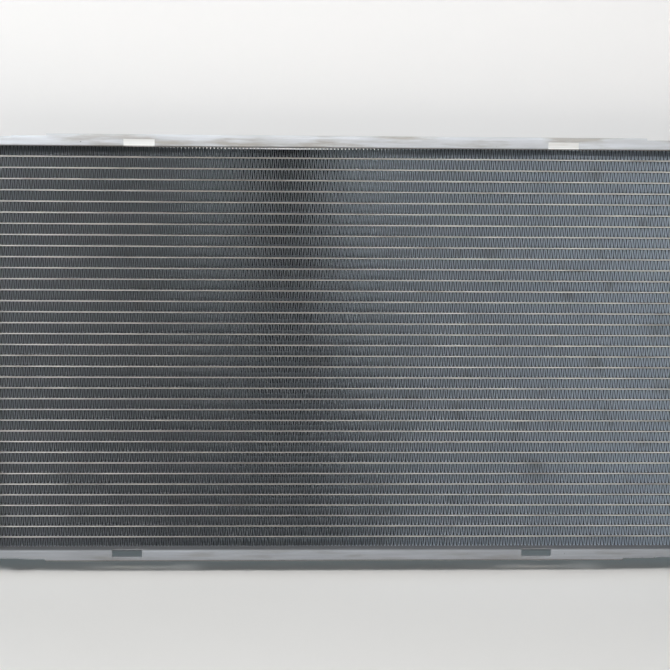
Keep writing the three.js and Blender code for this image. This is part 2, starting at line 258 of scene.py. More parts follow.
def brazedTubeFinish():  # dull tube with cream patches of dried flux at its two noses, and painted shade over the rest of its depth
    clean = (0.33, 0.32, 0.30)
    flux = (0.48, 0.455, 0.41)
    stainAndShade = (0.15, 0.13, 0.11)
    paintedShade = (0.05, 0.05, 0.052)
    paintedDipShade = {"centre": -0.09, "far": 0.2, "near": 0.05, "strength": 0.6}
    material, tree, shader = startMaterial("brazedTube", clean, 0.3, 0.5)
    patches = stepBetween(tree, noisePattern(tree, 60, 4, (0.35, 1, 1)), 0.35, 0.7)
    stains = stepBetween(tree, noisePattern(tree, 35, 5, (0.5, 1, 1)), 0.55, 0.70)
    low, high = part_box("core_fin_bottom")
    fromMiddle = awayFrom(tree, "Y", (low.y + high.y) / 2)
    nose = stepBetween(tree, fromMiddle, 0.0125, 0.0129)
    color = mixColor(tree, patches, clean, flux)
    color = mixColor(tree, stains, color, stainAndShade, 0.6)
    # painted shade: darker left of the middle, a tone set for the view from in front, not a known
    # stain
    middle = stepBetween(tree, awayFrom(tree, "X", paintedDipShade["centre"]), paintedDipShade["far"],
                         paintedDipShade["near"])
    color = mixColor(tree, middle, color, stainAndShade, paintedDipShade["strength"])
    # painted shade: the tube is dark in the depth of the core, back from its two noses
    color = mixColor(tree, nose, paintedShade, color)
    tree.links.new(color, shader.inputs["Base Color"])
    bumpFrom(tree, shader, noisePattern(tree, 900, 2), 0.0001)
    return material


# thin rolled sheet with bright cut edges, partly a painted highlight. Its tone along X and in
# depth is painted light and shade, set for the view from in front: painted shade deep in the core
# and in a dark stretch left of the middle, painted light in the pale bluish stretch towards the
# inlet end.
# It isn't a known stain, and it shows from the other sides too.
def finSheetFinish():
    edge = (0.68, 0.705, 0.73)
    paintedLightAndShade = ((0.0, (0.24, 0.255, 0.285)), (0.28, (0.045, 0.06, 0.08)), (0.44, (0.06, 0.075, 0.10)),
            (0.62, (0.60, 0.67, 0.76)), (1.0, (0.60, 0.67, 0.76)))  # the sheet, outlet end first
    paintedDepthShade = (0.02, 0.023, 0.03)
    dust = (0.16, 0.14, 0.12)
    material, tree, shader = startMaterial("finSheet", edge, 0.15, 0.5)
    low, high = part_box("core_fin_bottom")
    fromMiddle = awayFrom(tree, "Y", (low.y + high.y) / 2)
    along = stepBetween(tree, awayFrom(tree, "X", low.x), 0, high.x - low.x)
    ramp = tree.nodes.new("ShaderNodeValToRGB")
    for index, (place, color) in enumerate(paintedLightAndShade):
        stop = ramp.color_ramp.elements.new(place) if 0 < index < len(paintedLightAndShade) - 1 else \
            ramp.color_ramp.elements[0 if index == 0 else -1]
        stop.color = (*color, 1)
    tree.links.new(along, ramp.inputs[0])
    # painted shade: dark deep in the core, the painted tone of the sheet towards its two faces
    color = mixColor(tree, stepBetween(tree, fromMiddle, 0.0070, 0.0116), paintedDepthShade, ramp.outputs[0])
    allOver = stepBetween(tree, fromMiddle, 0, 0.001)  # 1 all over the cut edges
    cut = mixColor(tree, allOver, ramp.outputs[0], edge, 0.5)
    # the cut edges are lighter: clean cut metal, and partly a painted highlight
    color = mixColor(tree, stepBetween(tree, fromMiddle, 0.0116, 0.0119), color, cut)
    patches = stepBetween(tree, noisePattern(tree, 45, 4), 0.6, 0.75)
    color = mixColor(tree, patches, color, dust, 0.45)
    tree.links.new(color, shader.inputs["Base Color"])
    bumpFrom(tree, shader, noisePattern(tree, 700, 2), 0.00004)
    return material


def rolledSheet(name, sheet):  # flux clouds, tan stains, fine streaks, scratches and dark marks
    tan = (0.27, 0.245, 0.21)
    pale = tuple(min(1, channel * 1.3) for channel in sheet)
    mark = (0.08, 0.07, 0.06)
    material, tree, shader = startMaterial(name, sheet, 0.25, 0.6)
    clouds = stepBetween(tree, noisePattern(tree, 28, 5, (0.5, 1, 1.6)), 0.35, 0.7)
    tans = stepBetween(tree, noisePattern(tree, 55, 6, (0.35, 1, 2.5)), 0.52, 0.68)
    marks = stepBetween(tree, noisePattern(tree, 190, 1), 0.77, 0.81)
    streaks = stepBetween(tree, noisePattern(tree, 420, 4, (0.05, 1, 1)), 0.3, 0.7)
    color = mixColor(tree, clouds, sheet, pale, 0.6)
    color = mixColor(tree, tans, color, tan, 0.75)
    color = mixColor(tree, streaks, color, tan, 0.35)
    color = mixColor(tree, marks, color, mark, 0.8)
    scratches = noisePattern(tree, 500, 3, (0.04, 1, 1))
    rough = stepBetween(tree, scratches, 0.3, 0.7)
    rough.node.inputs["To Min"].default_value = 0.46
    rough.node.inputs["To Max"].default_value = 0.68
    tree.links.new(rough, shader.inputs["Roughness"])
    bumpFrom(tree, shader, scratches, 0.00006)
    return material, tree, shader, color


def headerFinish():  # the plain pressed sheet of the header plates
    material, tree, shader, color = rolledSheet("headerSheet", (0.34, 0.345, 0.355))
    tree.links.new(color, shader.inputs["Base Color"])
    return material


def sidePlateFinish():  # painted shade where it meets the core and along its lower edge, the lower plate painted darker, painted light inside its channel
    paintedChannelLight = (0.82, 0.785, 0.73)
    paintedShadeLine = (0.11, 0.095, 0.08)
    paintedShade = (0.16, 0.165, 0.175)
    material, tree, shader, color = rolledSheet("sidePlateSheet", (0.45, 0.455, 0.475))
    low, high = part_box("side_plate_upper")
    coreFace = low.z - middleHeight
    fromMiddle = awayFrom(tree, "Z", middleHeight)
    # painted shade: dark where the web meets the core
    paintedCornerShade = stepBetween(tree, fromMiddle, coreFace + 0.0016, coreFace + 0.0004)
    color = mixColor(tree, paintedCornerShade, color, paintedShadeLine, 0.85)
    halfDepth = (high.y - low.y) / 2
    inDepth = awayFrom(tree, "Y", (low.y + high.y) / 2)
    inside = stepBetween(tree, inDepth, halfDepth - 0.0009, halfDepth - 0.0014)
    channel = stepBetween(tree, fromMiddle, coreFace + 0.0011, coreFace + 0.0013)
    paintedChannelMask = tree.nodes.new("ShaderNodeMath")
    paintedChannelMask.operation = "MULTIPLY"
    tree.links.new(inside, paintedChannelMask.inputs[0])
    tree.links.new(channel, paintedChannelMask.inputs[1])
    # painted light: the inside of the channel is painted pale cream
    color = mixColor(tree, paintedChannelMask.outputs[0], color, paintedChannelLight, 0.8)
    foot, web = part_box("side_plate_lower")[0].z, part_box("side_plate_lower")[1].z
    lower = stepBetween(tree, awayFrom(tree, "Z", 0), web + 0.001, web)
    color = mixColor(tree, lower, color, paintedShade, 0.65)  # painted shade: the lower plate is set darker
    rim = stepBetween(tree, awayFrom(tree, "Z", 0), foot + 0.0012, foot + 0.0008)
    color = mixColor(tree, rim, color, paintedShadeLine, 0.8)  # painted shade: a dark line along its lower edge
    tree.links.new(color, shader.inputs["Base Color"])
    return material


def mouldedFinish(name, color, roughness, grain):
    material, tree, shader = startMaterial(name, color, 0, roughness)
    worn = tuple(min(1, channel * 2.2 + 0.01) for channel in color)
    patches = stepBetween(tree, noisePattern(tree, 30, 5), 0.45, 0.75)
    tree.links.new(mixColor(tree, patches, color, worn, 0.35), shader.inputs["Base Color"])
    bumpFrom(tree, shader, noisePattern(tree, grain, 2), 0.00008)
    return material


tubeFinish = brazedTubeFinish()
finFinish = finSheetFinish()
plateFinish = sidePlateFinish()
headerMaterial = headerFinish()
tankFinish = mouldedFinish("mouldedTank", (0.014, 0.014, 0.015), 0.5, 1500)
tapFinish = mouldedFinish("mouldedTap", (0.022, 0.022, 0.024), 0.42, 1200)
rubberFinish = mouldedFinish("rubber", (0.012, 0.012, 0.012), 0.75, 900)
print("materials made")


# flat tubes
tubeSet = {"height": 0.0018, "wall": 0.00035, "sides": 12, "hollow": 0.02}


def makeTube(settings, low, high):
    radius = settings["height"] / 2
    middle = (low + high) / 2
    deselectAll()
    bpy.ops.mesh.primitive_cylinder_add(
        vertices=settings["sides"], radius=radius, depth=high.x - low.x, end_fill_type="NGON",
        location=(middle.x, middle.y, low.z + radius), rotation=(0, math.pi / 2, 0))
    bpy.ops.object.transform_apply(location=True, rotation=True, scale=True)
    tube = bpy.context.active_object
    turn = math.pi / settings["sides"]
    editPiece(tube)
    bpy.ops.mesh.select_all(action="SELECT")
    bpy.ops.transform.rotate(value=turn, orient_axis="X",
                             center_override=(middle.x, middle.y, low.z + radius))
    half = (high.y - low.y) / 2 - radius
    for side in (-1, 1):
        pick(tube, "VERT", lambda co, side=side: (co.y - middle.y) * side > 0)
        bpy.ops.transform.translate(value=(0, side * half, 0))
    pick(tube, "FACE", lambda co, normal: abs(normal.x) > 0.9)
    bpy.ops.mesh.inset(thickness=settings["wall"], use_individual=True)
    for side in (-1, 1):
        pick(tube, "FACE", lambda co, normal, side=side: normal.x * side > 0.9 and
             abs(co.z - low.z - radius) < hair and abs(co.y - middle.y) < tenth)
        bpy.ops.mesh.extrude_region_move(
            TRANSFORM_OT_translate={"value": (-side * settings["hollow"], 0, 0)})
    leaveEdit()
    return tube


# corrugated fins
finSet = {
    "wave": 0.00347, "crest": 0.00108, "sheet": 0.00019, "round": 0.00050, "endGap": 0.0006,
    "recess": 0.001, "wander": 0.0007, "wanderSize": 0.009, "bow": 0.0006, "bowSize": 0.03,
    "squeeze": 0.02,
}


def makeFinStrip(settings, left, right, front, back, bottom, top):
    wave = settings["wave"]
    waves = math.floor((right - left - 2 * settings["endGap"]) / wave)
    start = (left + right - waves * wave) / 2
    crest = settings["crest"]
    run = wave / 2 - crest
    rise = top - bottom - settings["sheet"]
    low = bottom + settings["sheet"] / 2
    deselectAll()
    bpy.ops.mesh.primitive_plane_add(size=1, location=(start + crest / 2, (front + back) / 2, low))
    bpy.ops.transform.resize(value=(crest, back - front, 1))
    bpy.ops.object.transform_apply(location=True, rotation=True, scale=True)
    strip = bpy.context.active_object
    editPiece(strip)
    edge = start + crest
    for step in ((run, rise), (crest, 0), (run, -rise)):
        pick(strip, "EDGE", lambda a, b, edge=edge: min(a.x, b.x) > edge - speck)
        bpy.ops.mesh.extrude_edges_move(
            TRANSFORM_OT_translate={"value": (step[0], 0, step[1])})
        edge += step[0]
    leaveEdit()
    applyModifier(strip, "ARRAY", count=waves, use_relative_offset=False,
                  use_constant_offset=True, constant_offset_displace=(wave, 0, 0),
                  use_merge_vertices=True, merge_threshold=speck)
    editPiece(strip)
    pick(strip, "EDGE", lambda a, b: abs(a.x - b.x) < speck and
         start + speck < a.x < start + waves * wave - speck)
    bpy.ops.mesh.bevel(offset=settings["round"], segments=2, affect="EDGES")
    bpy.ops.mesh.select_all(action="SELECT")
    bpy.ops.mesh.normals_make_consistent(inside=False)
    leaveEdit()
    applyModifier(strip, "SOLIDIFY", thickness=settings["sheet"], offset=0)
    return strip


def wanderTexture(name, size):
    texture = bpy.data.textures.new(name, type="CLOUDS")
    texture.noise_scale = size
    texture.noise_depth = 1
    return texture


def wanderFins(strip, settings, textures):
    squeeze = Matrix.Scale(settings["squeeze"], 4, (0, 1, 0))  # keeps each wave straight in depth
    strip.data.transform(squeeze)
    for texture, strength in zip(textures, (settings["wander"], settings["bow"])):
        applyModifier(strip, "DISPLACE", texture=texture, texture_coords="LOCAL",
                      direction="X", strength=strength, mid_level=0.5)
    strip.data.transform(squeeze.inverted())


def makeCore():
    firstLow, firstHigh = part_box(rowNames[0])
    finLow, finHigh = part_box("core_fin_bottom")
    secondLow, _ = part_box(rowNames[1])
    pitch = secondLow.z - firstLow.z
    tube = makeTube(tubeSet, firstLow, Vector((firstHigh.x, firstHigh.y, 0)))
    half = tubeSet["height"]
    strip = makeFinStrip(
        finSet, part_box("header_plate_outlet")[1].x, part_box("header_plate_inlet")[0].x,
        firstLow.y + finSet["recess"], firstHigh.y - finSet["recess"],
        firstLow.z - (pitch - half), firstLow.z)
    textures = [wanderTexture("finWander", finSet["wanderSize"]),
                wanderTexture("finBow", finSet["bowSize"])]
    for index, name in enumerate(rowNames):
        rise = (0, 0, index * pitch)
        rowTube = copyPiece(tube, "tube_" + name[-2:], rise)
        smoothByAngle(rowTube)
        fit(rowTube, tubeFinish)
        rowFin = copyPiece(strip, "fin_" + name[-2:], (0, 0, (index + 1) * pitch))
        wanderFins(rowFin, finSet, textures)
        fit(rowFin, finFinish)
        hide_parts(name)
        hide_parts(name)
    strip.name = "fin_00"
    wanderFins(strip, finSet, textures)
    fit(strip, finFinish)
    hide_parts("core_fin_bottom")
    bpy.data.objects.remove(tube)


makeCore()
print("core made")


# side plates
plateSet = {
    "sheet": 0.0012, "bend": 0.0022, "steppedDrop": 0.0019, "endDrop": 0.0027, "joggle": 0.0003,
    "seam": 0.309, "longStep": -0.2775, "shortStep": 0.286, "slots": (-0.1914, 0.207),
    "slotLength": 0.029, "slotTop": 0.0072, "slotBite": 0.0024, "edge": 0.00022, "lean": 0.0004,
    "slope": 0.0002, "stepRun": 0.0004, "seamRun": 0.0012, "bendSegments": 5,
}


def makeSidePlate(settings, low, high):  # the upper plate: flanges stand up from the web
    sheet = settings["sheet"]
    front = low.y
    deselectAll()
    middle = (low + high) / 2
    bpy.ops.mesh.primitive_plane_add(size=1, location=(middle.x, middle.y, low.z))
    bpy.ops.transform.resize(value=(high.x - low.x, high.y - low.y, 1))
    bpy.ops.object.transform_apply(location=True, rotation=True, scale=True)
    plate = bpy.context.active_object
    editPiece(plate)
    pick(plate, "EDGE", lambda a, b: abs(a.y - b.y) < speck)
    bpy.ops.mesh.extrude_edges_move(
        TRANSFORM_OT_translate={"value": (0, 0, high.z - low.z)})
    pick(plate, "EDGE", lambda a, b: max(a.z, b.z) < low.z + speck and abs(a.y - b.y) < speck)
    bpy.ops.mesh.bevel(offset=settings["bend"], segments=settings["bendSegments"], affect="EDGES")
    halfSlot = settings["slotLength"] / 2
    slotEdges = [x + side * halfSlot for x in settings["slots"] for side in (-1, 1)]
    steps = [settings["longStep"], settings["shortStep"]]
    seams = [side * (settings["seam"] + reach) for side in (-1, 1)
             for reach in (0, settings["seamRun"])]
    for x in slotEdges + steps + [step + settings["stepRun"] for step in steps] + seams:
        bpy.ops.mesh.select_all(action="SELECT")
        bpy.ops.mesh.bisect(plane_co=(x, 0, 0), plane_no=(1, 0, 0))
    bpy.ops.mesh.select_all(action="SELECT")
    bpy.ops.mesh.bisect(plane_co=(0, 0, low.z + settings["slotTop"]), plane_no=(0, 0, 1))
    bpy.ops.mesh.select_all(action="SELECT")
    bpy.ops.mesh.bisect(plane_co=(0, front + settings["slotBite"], 0), plane_no=(0, 1, 0))

    def inSlot(co, normal):
        along = any(abs(co.x - x) < halfSlot for x in settings["slots"])
        return (along and co.y < front + settings["slotBite"]
                and co.z < low.z + settings["slotTop"])

    pick(plate, "FACE", inSlot)
    bpy.ops.mesh.delete(type="FACE")
    longStep, shortStep, seam = settings["longStep"], settings["shortStep"], settings["seam"]
    slope = settings["slope"]
    pick(plate, "VERT", lambda co: co.z > high.z - hair and
         (co.x < longStep + slope or co.x > shortStep + slope))
    bpy.ops.transform.translate(value=(0, 0, -settings["steppedDrop"]))
    pick(plate, "VERT", lambda co: co.z > low.z + settings["slotTop"] + hair and
         abs(co.x) > seam + tenth)
    bpy.ops.transform.translate(value=(0, 0, settings["steppedDrop"] - settings["endDrop"]))
    for side in (-1, 1):
        pick(plate, "VERT", lambda co, side=side: abs(co.x) > seam + tenth and
             (co.y - middle.y) * side > (high.y - low.y) / 2 - hair)
        bpy.ops.transform.translate(value=(0, -side * settings["joggle"], 0))
    for side in (-1, 1):  # the flanges lean in a little towards their edges
        pick(plate, "VERT", lambda co, side=side: co.z > low.z + settings["slotTop"] + hair
             and (co.y - middle.y) * side > 0)
        bpy.ops.transform.translate(value=(0, -side * settings["lean"], 0))
    bpy.ops.mesh.select_all(action="SELECT")
    bpy.ops.mesh.normals_make_consistent(inside=False)
    leaveEdit()
    applyModifier(plate, "SOLIDIFY", thickness=sheet, offset=-1)
    return plate


def placeSidePlates():
    low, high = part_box("side_plate_upper")
    upper = makeSidePlate(plateSet, low, high)
    upper.name = "upper_side_plate"
    roundEdges(upper, plateSet["edge"], 2, 50)
    smoothByAngle(upper, 40)
    lower = turnOver(upper, "lower_side_plate")
    for piece, node in ((upper, "side_plate_upper"), (lower, "side_plate_lower")):
        fit(piece, plateFinish)
        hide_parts(node)


placeSidePlates()
print("side plates made")


# header plates
headerSet = {"sheet": 0.0013, "corner": 0.005, "bend": 0.0013, "lap": 0.0035, "pitch": 0.038,
             "notch": 0.006, "notchDepth": 0.0055}


def makeHeader(settings, low, high):
    rim = high.x - settings["sheet"] / 2
    header = newBlock("header_inlet", low, (rim, high.y, high.z))
    middle, half = (low + high) / 2, (high - low) / 2
    editPiece(header)
    pick(header, "FACE", lambda co, normal: normal.x > 0.9)
    bpy.ops.mesh.delete(type="FACE")
    pick(header, "EDGE", lambda a, b: abs(a.x - b.x) > millimetre)
    bpy.ops.mesh.bevel(offset=settings["corner"], segments=4, affect="EDGES")
    count = int(half.z * 2 / settings["pitch"])
    gaps = [middle.z + (index - count / 2) * settings["pitch"] for index in range(count + 1)]
    notch = settings["notch"] / 2
    for cut in [gap + side * notch for gap in gaps for side in (-1, 1)]:
        bpy.ops.mesh.select_all(action="SELECT")
        bpy.ops.mesh.bisect(plane_co=(0, 0, cut), plane_no=(0, 0, 1))
    bpy.ops.mesh.select_all(action="SELECT")
    bpy.ops.mesh.bisect(plane_co=(rim - settings["notchDepth"], 0, 0), plane_no=(1, 0, 0))
    pick(header, "FACE", lambda co, normal: abs(normal.y) > 0.9 and
         co.x > rim - settings["notchDepth"] and any(abs(co.z - gap) < notch for gap in gaps))
    bpy.ops.mesh.delete(type="FACE")
    for side in (-1, 1):  # the tabs fold in over the tank's foot
        pick(header, "EDGE", lambda a, b, side=side: min(a.x, b.x) > rim - hair and
             all((co.y - middle.y) * side > half.y - hair for co in (a, b)))
        bpy.ops.mesh.extrude_edges_move(
            TRANSFORM_OT_translate={"value": (0, -side * settings["lap"], 0)})
        pick(header, "EDGE", lambda a, b, side=side: min(a.x, b.x) > rim - hair and
             all((co.z - middle.z) * side > half.z - hair for co in (a, b)))
        bpy.ops.mesh.extrude_edges_move(
            TRANSFORM_OT_translate={"value": (0, 0, -side * settings["lap"])})

    def isFold(a, b):
        level = max(a.x, b.x) < low.x + hair or min(a.x, b.x) > rim - hair
        return level and all(abs(co.y - middle.y) > half.y - hair or
                             abs(co.z - middle.z) > half.z - hair for co in (a, b))

    pick(header, "EDGE", isFold)
    bpy.ops.mesh.bevel(offset=settings["bend"], segments=3, affect="EDGES")
    bpy.ops.mesh.select_all(action="SELECT")
    bpy.ops.mesh.normals_make_consistent(inside=False)
    leaveEdit()
    applyModifier(header, "SOLIDIFY", thickness=settings["sheet"], offset=-1)
    smoothByAngle(header, 40)
    return header


def placeHeaders():
    inlet = makeHeader(headerSet, *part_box("header_plate_inlet"))
    outlet = turnOver(inlet, "header_outlet")
    for piece, node in ((inlet, "header_plate_inlet"), (outlet, "header_plate_outlet")):
        fit(piece, headerMaterial)
        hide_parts(node)


placeHeaders()
print("headers made")


# round shapes, grown ring by ring along their own axis
def turnShape(name, profile, base, axis, facets=48, ring=False):
    axis, base = Vector(axis), Vector(base)
    deselectAll()
    radius, height = profile[0]
    bpy.ops.mesh.primitive_circle_add(
        vertices=facets, radius=radius, fill_type="NOTHING", location=base + axis * height,
        rotation=axis.to_track_quat("Z", "Y").to_euler())
    bpy.ops.object.transform_apply(location=True, rotation=True, scale=True)
    piece = bpy.context.active_object
    piece.name = name
    editPiece(piece)
    bpy.ops.mesh.select_all(action="SELECT")
    if not ring:
        bpy.ops.mesh.edge_face_add()
        bpy.ops.mesh.select_all(action="SELECT")
    for nextRadius, nextHeight in profile[1:] + (profile[:1] if ring else ()):
        bpy.ops.mesh.extrude_edges_move(
            TRANSFORM_OT_translate={"value": axis * (nextHeight - height)})
        grow = nextRadius / radius
        spread = [1 if abs(part) > 0.5 else grow for part in axis]
        bpy.ops.transform.resize(value=spread, center_override=base + axis * nextHeight)
        radius, height = nextRadius, nextHeight
    if not ring:
        bpy.ops.mesh.edge_face_add()
    leaveEdit()
    closeSeams(piece)
    smoothByAngle(piece, 40)
    return piece


# tanks: a moulded trough with a foot and ribs, a hose neck, clip sleeves and mounting pins
tankSet = {
    "foot": 0.006, "footLip": 0.0034, "radius": 0.014, "endRadius": 0.0045, "wall": 0.0028,
    "ribs": 8, "rib": 0.0022, "ribHeight": 0.0024, "ribMargin": 0.028, "edge": 0.0005,
    "axisX": 0.3765, "neckZ": 0.3718, "neckBore": 0.0134, "drainBore": 0.0053,
    "sleeveHeights": (0.2838, 0.1038), "sleeve": (0.017, 0.011, 0.022), "sleeveWall": 0.0025,
    "sleeveSink": 0.0004, "endSteps": ((0.134, 0.5), (0.366, 0.366), (0.5, 0.134)),
    "bottom": 0.0183, "top": 0.4253, "backY": -0.0375, "faceY": 0.0005, "outerX": 0.4005,
    "pinY": -0.0185,
}
neckProfile = (  # radius, distance out from the face
    (0.0205, -0.0006), (0.0186, 0.0006), (0.0170, 0.0024), (0.0162, 0.0050), (0.0160, 0.0090),
    (0.0160, 0.0320), (0.0163, 0.0328), (0.0172, 0.0340), (0.0176, 0.0352), (0.0172, 0.0364),
    (0.0163, 0.0376), (0.0160, 0.0386), (0.0160, 0.0408), (0.0154, 0.0420), (0.0140, 0.0420),
    (0.0132, 0.0412), (0.0132, -0.0025))
pinProfile = ((0.0092, -0.0004), (0.0080, 0.0006), (0.0072, 0.0022), (0.0070, 0.0040),
              (0.0070, 0.0155), (0.0064, 0.0166), (0.0056, 0.0170))
bushProfile = (  # radius, distance in from the mounted end
    (0.0073, 0.0010), (0.0082, 0.0), (0.0136, 0.0), (0.0150, 0.0014), (0.0150, 0.0048),
    (0.0142, 0.0060), (0.0116, 0.0064), (0.0110, 0.0074), (0.0110, 0.0106), (0.0116, 0.0116),
    (0.0142, 0.0120), (0.0150, 0.0132), (0.0150, 0.0166), (0.0136, 0.0179), (0.0082, 0.0179),
    (0.0073, 0.0169))
bossProfile = ((0.0114, -0.0006), (0.0103, 0.0006), (0.0100, 0.0020), (0.0100, 0.0052),
               (0.0093, 0.0060), (0.0060, 0.0060), (0.0054, 0.0054), (0.0054, -0.0022))


def makeTankShell(settings, low, high):
    endRadius = settings["endRadius"]
    tank = newBlock("tank_shell", (low.x, low.y, low.z + endRadius),
                    (high.x, high.y, high.z - endRadius))
    footTop = low.x + settings["foot"]
    editPiece(tank)
    pick(tank, "EDGE", lambda a, b: min(a.x, b.x) > high.x - hair and abs(a.z - b.z) > millimetre)
    bpy.ops.mesh.bevel(offset=settings["radius"], segments=6, affect="EDGES")
    pick(tank, "FACE", lambda co, normal: abs(normal.z) > 0.9)
    for inward, outward in settings["endSteps"]:  # the rounded ends
        bpy.ops.mesh.inset(thickness=inward * endRadius, depth=outward * endRadius)
    first, last = low.z + settings["ribMargin"], high.z - settings["ribMargin"]
    count = settings["ribs"]
    ribs = [first + (last - first) * index / (count - 1) for index in range(count)]
    half = settings["rib"] / 2
    for cut in [rib + side * half for rib in ribs for side in (-1, 1)]:
        bpy.ops.mesh.select_all(action="SELECT")
        bpy.ops.mesh.bisect(plane_co=(0, 0, cut), plane_no=(0, 0, 1))
    for cut in (footTop, footTop + settings["rib"]):
        bpy.ops.mesh.select_all(action="SELECT")
        bpy.ops.mesh.bisect(plane_co=(cut, 0, 0), plane_no=(1, 0, 0))
    pick(tank, "FACE", lambda co, normal: co.x > footTop + settings["rib"] and
         any(abs(co.z - rib) < half for rib in ribs))
    bpy.ops.mesh.extrude_region_shrink_fatten(
        TRANSFORM_OT_shrink_fatten={"value": settings["ribHeight"]})
    pick(tank, "FACE", lambda co, normal: normal.x < -0.9 and co.x < low.x + hair)
    bpy.ops.mesh.inset(thickness=settings["wall"])
    depth = high.x - low.x - settings["wall"]
    bpy.ops.mesh.extrude_region_move(TRANSFORM_OT_translate={"value": (depth, 0, 0)})
    pick(tank, "EDGE", lambda a, b: min(a.x, b.x) > low.x + depth - hair and
         max(a.x, b.x) < low.x + depth + hair and abs(a.z - b.z) > millimetre)
    bpy.ops.mesh.bevel(offset=settings["radius"] - settings["wall"], segments=4, affect="EDGES")
    leaveEdit()
    return tank


def makeFoot(name, settings, low, high):  # the rim that the header's tabs hold down
    foot = newBlock(name, low, high)
    editPiece(foot)
    pick(foot, "EDGE", lambda a, b: abs(a.x - b.x) > millimetre)
    bpy.ops.mesh.bevel(offset=settings["footLip"], segments=3, affect="EDGES")
    openThrough(foot, "x", settings["footLip"] + settings["wall"] / 2)
    roundEdges(foot, settings["edge"], 2)
    smoothByAngle(foot, 40)
    return foot


def openThrough(piece, axis, wall):  # a straight opening from end to end, in edit mode
    pick(piece, "FACE", lambda co, normal: abs(getattr(normal, axis)) > 0.9)
    bpy.ops.mesh.inset(thickness=wall)
    bpy.ops.mesh.delete(type="FACE")
    bpy.ops.mesh.select_mode(type="EDGE")
    bpy.ops.mesh.select_non_manifold()
    bpy.ops.mesh.bridge_edge_loops()
    leaveEdit()
    closeSeams(piece)


def cutHole(piece, centre, radius, facets=48):
    reach = 0.006
    cutter = turnShape("cutter", ((radius, -reach), (radius, reach)), centre, (0, 1, 0), facets)
    applyModifier(piece, "BOOLEAN", operation="DIFFERENCE", object=cutter, solver="EXACT")
    bpy.data.objects.remove(cutter)


def makeSleeve(name, centre, settings):
    size = Vector(settings["sleeve"])
    sink = settings["sleeveSink"]  # it starts a little way into the tank's face
    low = Vector((centre[0] - size.x / 2, centre[1] - sink, centre[2] - size.z / 2))
    sleeve = newBlock(name, low, low + size + Vector((0, sink, 0)))
    editPiece(sleeve)
    openThrough(sleeve, "z", settings["sleeveWall"])
    roundEdges(sleeve, settings["edge"], 2)
    smoothByAngle(sleeve, 40)
    return sleeve


def placeTanks(settings):
    low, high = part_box("tank_inlet")
    gasketLow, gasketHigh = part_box("tank_gasket_inlet")
    pinLow, pinHigh, pinY = settings["bottom"], settings["top"], settings["pinY"]
    faceY, axisX = settings["faceY"], settings["axisX"]
    low = Vector((low.x, settings["backY"], pinLow))
    high = Vector((settings["outerX"], faceY, pinHigh))
    shell = makeTankShell(settings, low, high)
    drained = turnOver(shell, "outlet_tank_shell")
    shell.name = "inlet_tank_shell"
    neckCentre = Vector((axisX, faceY, settings["neckZ"]))
    cutHole(shell, neckCentre, settings["neckBore"])
    outletZ = 2 * middleHeight - settings["neckZ"]
    cutHole(drained, (-axisX, faceY, outletZ), settings["neckBore"])
    sealLow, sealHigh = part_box("drain_tap_seal")
    drain = Vector((-axisX, faceY, (sealLow.z + sealHigh.z) / 2))
    cutHole(drained, drain, settings["drainBore"], 24)
    for piece in (shell, drained):
        roundEdges(piece, settings["edge"], 2, 40)
        smoothByAngle(piece, 40)
    moulded = [turnShape("inlet_neck", neckProfile, neckCentre, (0, 1, 0), ring=True),
               turnShape("inlet_pin_lower", pinProfile, (axisX, pinY, pinLow), (0, 0, -1), 32),
               turnShape("inlet_pin_upper", pinProfile, (axisX, pinY, pinHigh), (0, 0, 1), 32)]
    moulded.append(makeFoot("inlet_foot", settings, (low.x, gasketLow.y, gasketLow.z), (
        low.x + settings["foot"], gasketHigh.y, gasketHigh.z)))
    for index, height in enumerate(settings["sleeveHeights"]):
        moulded.append(makeSleeve("inlet_sleeve_%d" % index, (axisX, faceY, height), settings))
    turned = [turnOver(piece, piece.name.replace("inlet", "outlet")) for piece in moulded]
    boss = turnShape("outlet_drain_boss", bossProfile, drain, (0, 1, 0), 40, ring=True)
    for piece in [shell] + moulded:
        fit(piece, tankFinish)
        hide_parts("tank_inlet")
    for piece in [drained, boss] + turned:
        fit(piece, tankFinish)
        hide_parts("tank_outlet")


placeTanks(tankSet)
print("tanks made")


# mounting bushes
def placeBushes():
    for end in ("inlet", "outlet"):
        for place, axis in (("lower", 1), ("upper", -1)):
            node = "bush_%s_%s" % (end, place)
            low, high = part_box(node)
            base = (low + high) / 2
            base.z = low.z if axis > 0 else high.z
            bush = turnShape("rubber_" + node, bushProfile, base, (0, 0, axis), 40, ring=True)
            fit(bush, rubberFinish)
            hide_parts(node)


placeBushes()
print("bushes made")


# drain tap
tapSet = {"stem": 0.0048, "head": 0.0095, "headDepth": 0.003, "wing": 0.004, "edge": 0.0008,
          "facets": 36, "gripDepth": 0.0004, "gripEdge": 0.0002, "wingTaper": (0.72, 1, 1.3),
          "wingRound": 0.0034, "sealSides": 10}


